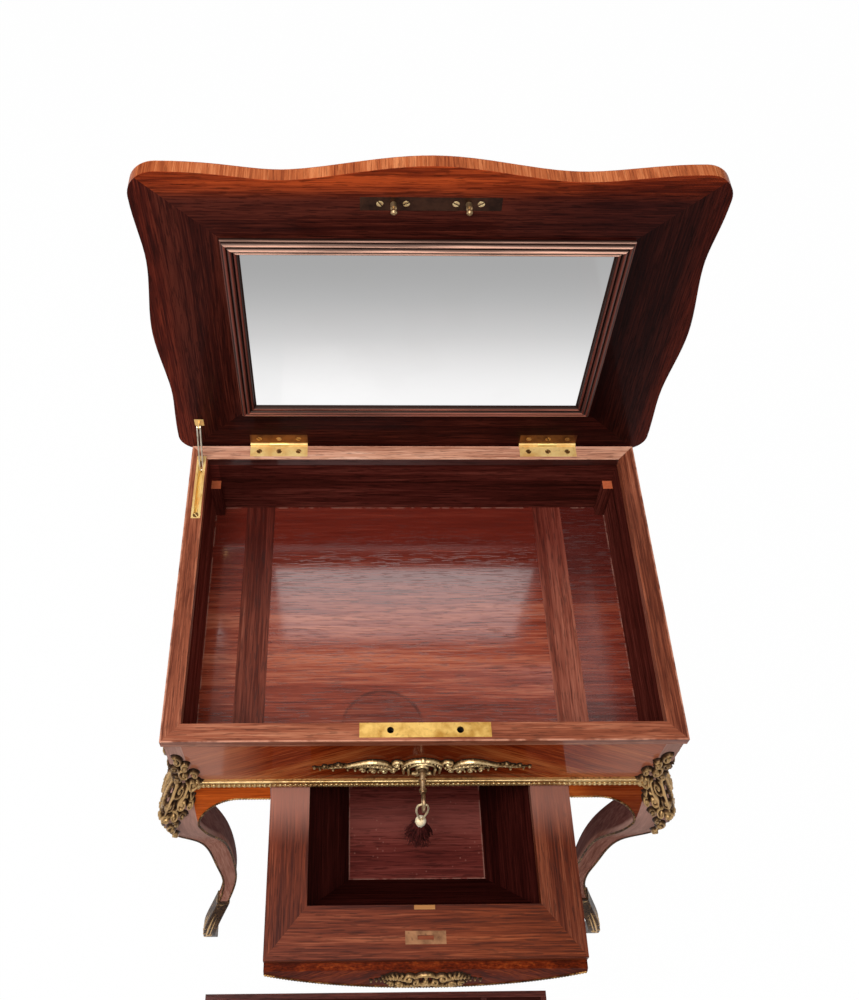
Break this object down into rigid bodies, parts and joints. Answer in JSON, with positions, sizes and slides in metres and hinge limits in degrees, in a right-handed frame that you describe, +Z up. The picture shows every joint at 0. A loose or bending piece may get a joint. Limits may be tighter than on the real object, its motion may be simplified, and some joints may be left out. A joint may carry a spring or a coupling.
{
  "type": "work table",
  "caption": "Lady's work table with cabriole legs, hinged mirror lid, lift-out tray, and a frieze drawer over a tapered well, with gilt bronze mounts.",
  "frame": {"origin": "on the floor under the plan centre of the carcase", "axes": "+X to the table's right as seen from the front, +Y to the back, +Z up"},
  "size_m": [0.6022, 0.8581, 1.1147],
  "materials": {
    "case_wood": "french-polished dark veneer",
    "rim_wood": "worn satin",
    "inner_wood": "polished",
    "lid_wood": "dark polished",
    "drawer_wood": "polished",
    "tray_wood": "satin",
    "gilt_bronze": "gilt with dark patina",
    "plate_brass": "polished",
    "lock_steel": "filed iron",
    "silvered_glass": "silvered",
    "thread": "silk thread"
  },
  "bodies": {
    "carcase": {"front_panel": "case_wood", "back_panel": "case_wood", "left_panel": "case_wood", "right_panel": "case_wood", "rim_front": "rim_wood", "rim_back": "rim_wood", "rim_left": "rim_wood", "rim_right": "rim_wood", "compartment_floor": "inner_wood", "floor_bands": "inner_wood", "tray_posts": "inner_wood", "leg_front_left": "case_wood", "leg_front_right": "case_wood", "leg_back_left": "case_wood", "leg_back_right": "case_wood", "front_rail": "case_wood", "front_aprons": "case_wood", "back_apron": "case_wood", "side_aprons": "case_wood", "drawer_runners": "drawer_wood", "sabots": "gilt_bronze", "corner_mounts": "gilt_bronze", "frieze_mouldings": "gilt_bronze", "escutcheon_mount": "gilt_bronze", "lock_case": "lock_steel", "lock_plate": "plate_brass", "hinge_leaves_rim": "plate_brass", "hinge_pins": "plate_brass", "hinge_screws_rim": "plate_brass", "stay_plate": "plate_brass"},
    "lid": {"lid_board": "lid_wood", "mirror_glass": "silvered_glass", "mirror_moulding_top": "lid_wood", "mirror_moulding_bottom": "lid_wood", "mirror_moulding_left": "lid_wood", "mirror_moulding_right": "lid_wood", "hinge_leaves_lid": "plate_brass", "hinge_screws_lid": "plate_brass", "link_plate": "plate_brass", "link_studs": "plate_brass", "stay_bracket": "plate_brass"},
    "stay": {"stay_link": "plate_brass"},
    "drawer": {"drawer_front": "case_wood", "drawer_rail_front": "drawer_wood", "drawer_rail_left": "drawer_wood", "drawer_rail_right": "drawer_wood", "drawer_rail_back": "drawer_wood", "well_front": "drawer_wood", "well_back": "drawer_wood", "well_left": "drawer_wood", "well_right": "drawer_wood", "well_base": "drawer_wood", "drawer_strike_plate": "plate_brass", "drawer_front_mount": "gilt_bronze"},
    "key": {"key": "plate_brass"},
    "lock_bolt": {"lock_bolt": "lock_steel"},
    "tassel": {"key_tassel": "thread"},
    "tray": {"tray_base": "tray_wood", "tray_sides": "tray_wood", "tray_dividers": "tray_wood"}
  },
  "joints": [
    {"name": "lid_hinge", "type": "hinge", "parent": "carcase", "child": "lid", "pos_m": [0, 0.1932, 0.7], "axis": [1, 0, 0], "range_deg": [0, 90]},
    {"name": "stay_pivot", "type": "hinge", "parent": "lid", "child": "stay", "pos_m": [-0.259, 0.1862, 0.742], "axis": [1, 0, 0], "range_deg": [-153, 0]},
    {"name": "drawer_slide", "type": "slide", "parent": "carcase", "child": "drawer", "axis": [0, 1, 0], "range_m": [-0.05, 0.182], "deforming": ["key_tassel"]},
    {"name": "key_turn", "type": "hinge", "parent": "carcase", "child": "key", "pos_m": [0, -0.2, 0.625], "axis": [0, 1, 0], "range_deg": [0, 90]},
    {"name": "bolt_slide", "type": "slide", "parent": "carcase", "child": "lock_bolt", "axis": [1, 0, 0], "range_m": [0, 0.0081]},
    {"name": "tassel_hang", "type": "hinge", "parent": "key", "child": "tassel", "pos_m": [0, -0.228, 0.616], "axis": [0, 1, 0], "range_deg": [-90, 0]},
    {"name": "tray_lift", "type": "slide", "parent": "carcase", "child": "tray", "axis": [0, 0, 1], "range_m": [0, 0.25]}
  ],
  "couplings": [
    {"joint": "stay_pivot", "follows": "lid_hinge", "ratio": -1.694},
    {"joint": "bolt_slide", "follows": "key_turn", "m_per_rad": 0.005093},
    {"joint": "tassel_hang", "follows": "key_turn", "ratio": -1}
  ]
}
